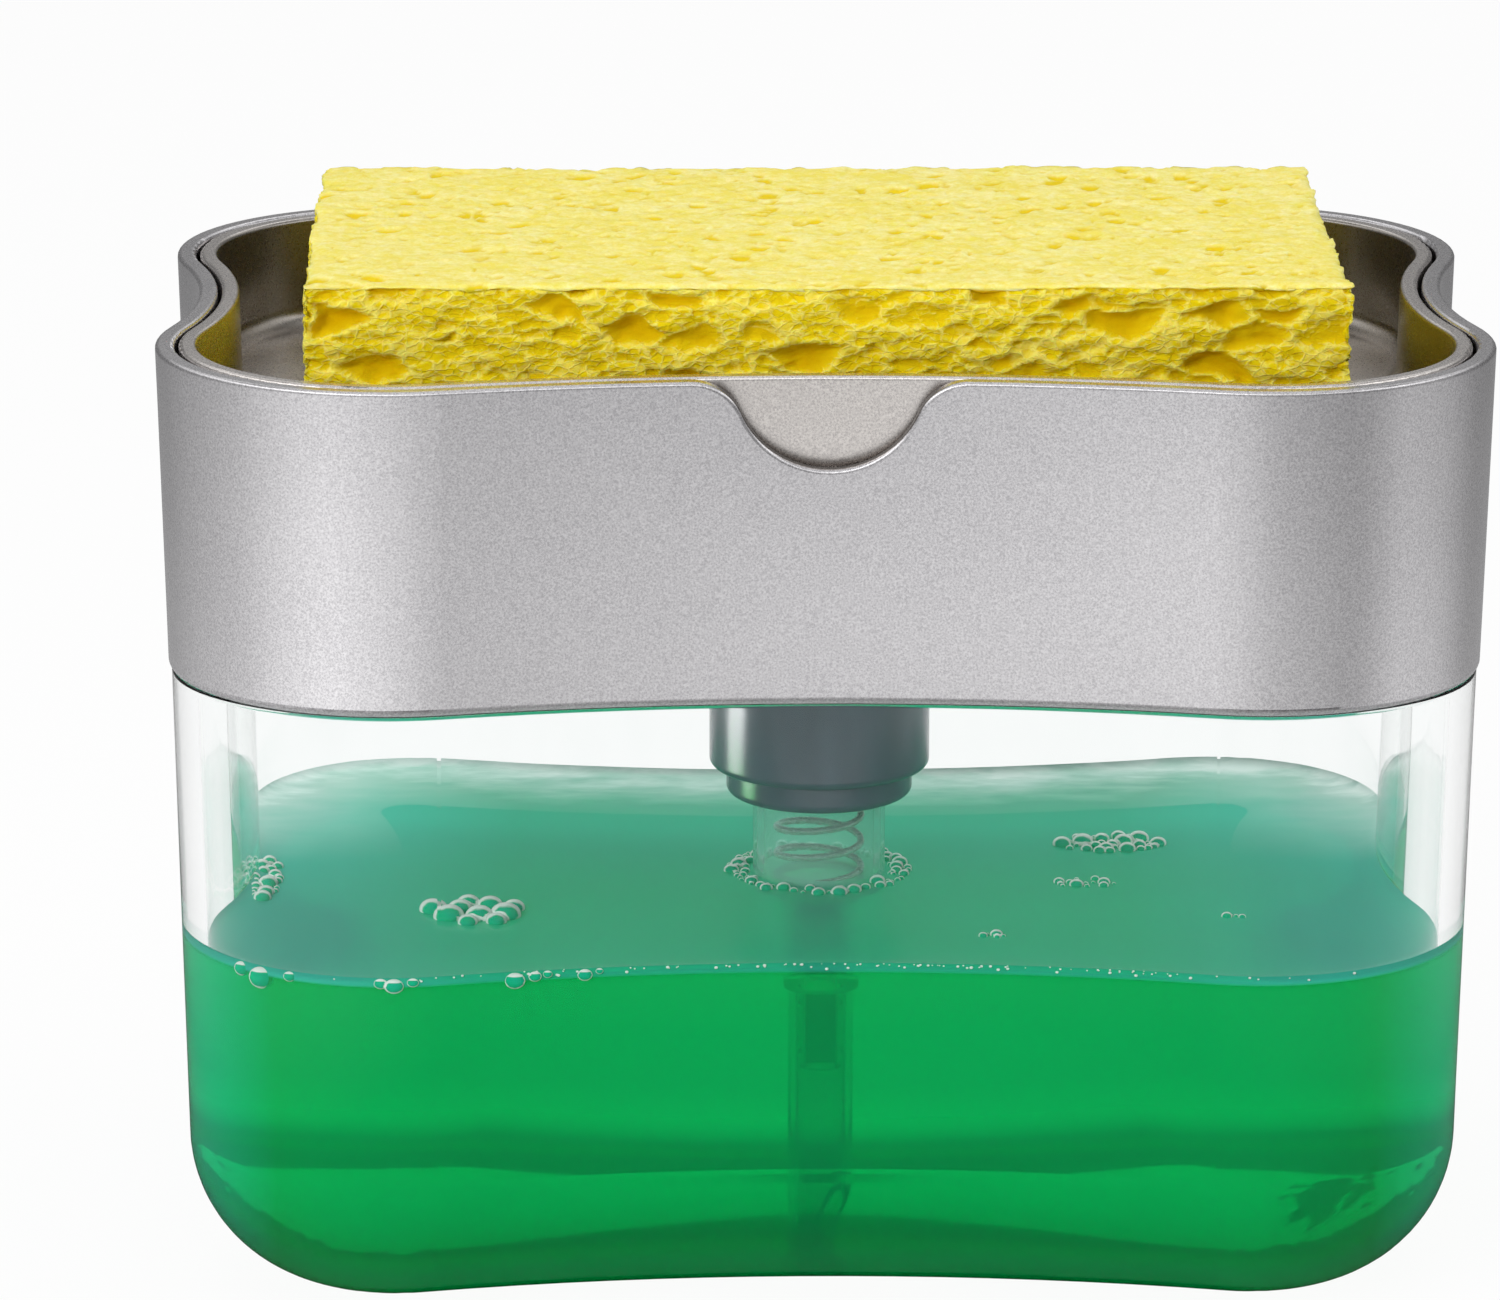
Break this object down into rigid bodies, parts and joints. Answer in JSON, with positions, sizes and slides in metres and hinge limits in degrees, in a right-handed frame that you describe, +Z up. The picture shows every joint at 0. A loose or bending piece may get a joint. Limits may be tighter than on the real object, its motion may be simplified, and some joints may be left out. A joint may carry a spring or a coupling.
{
  "type": "soap pump caddy",
  "caption": "Free-standing kitchen caddy: clear lobed soap tank, silver top with a sponge tray that is pushed down to pump soap up through its centre.",
  "frame": {"origin": "centre of the base, on the surface that the caddy stands on", "axes": "+X across the width, to the right seen from the front; +Y to the back, with the finger notch facing -Y; +Z up along the pump"},
  "size_m": [0.1396, 0.0952, 0.1096],
  "materials": {
    "clear_tank": "gloss",
    "green_soap": "gloss",
    "satin_silver": "satin",
    "cellulose": "matte",
    "slate_plastic": "gloss",
    "seal_rubber": "matte",
    "clear_barrel": "gloss",
    "white_plastic": "gloss",
    "spring_steel": "polished"
  },
  "bodies": {
    "reservoir": {"tank": "clear_tank", "soap_fill": "green_soap"},
    "top": {"upper_housing": "satin_silver", "pump_collar": "slate_plastic", "neck_gasket": "seal_rubber", "pump_cylinder": "clear_barrel", "stem_guide": "white_plastic", "dip_tube": "clear_barrel", "return_spring": "spring_steel"},
    "plunger": {"pump_stem": "white_plastic", "piston_rod": "white_plastic"},
    "outlet_valve": {"piston_seal": "seal_rubber"},
    "inlet_valve": {"inlet_ball": "spring_steel"},
    "tray": {"sponge_tray": "satin_silver"},
    "sponge_block": {"sponge": "cellulose"}
  },
  "joints": [
    {"name": "top_lift", "type": "slide", "parent": "reservoir", "child": "top", "axis": [0, 0, 1], "range_m": [0, 0.09]},
    {"name": "plunger_press", "type": "slide", "parent": "top", "child": "plunger", "axis": [0, 0, -1], "range_m": [0, 0.011], "stiffness_N_per_m": 900, "springref_m": -0.01, "deforming": ["return_spring"]},
    {"name": "tray_lift", "type": "slide", "parent": "plunger", "child": "tray", "axis": [0, 0, 1], "range_m": [0, 0.03]},
    {"name": "sponge_lift", "type": "slide", "parent": "tray", "child": "sponge_block", "axis": [0, 0, 1], "range_m": [0, 0.03]},
    {"name": "outlet_seal_shift", "type": "slide", "parent": "plunger", "child": "outlet_valve", "axis": [0, 0, 1], "range_m": [0, 0.0012]},
    {"name": "inlet_ball_lift", "type": "slide", "parent": "top", "child": "inlet_valve", "axis": [0, 0, 1], "range_m": [0, 0.0012]}
  ]
}
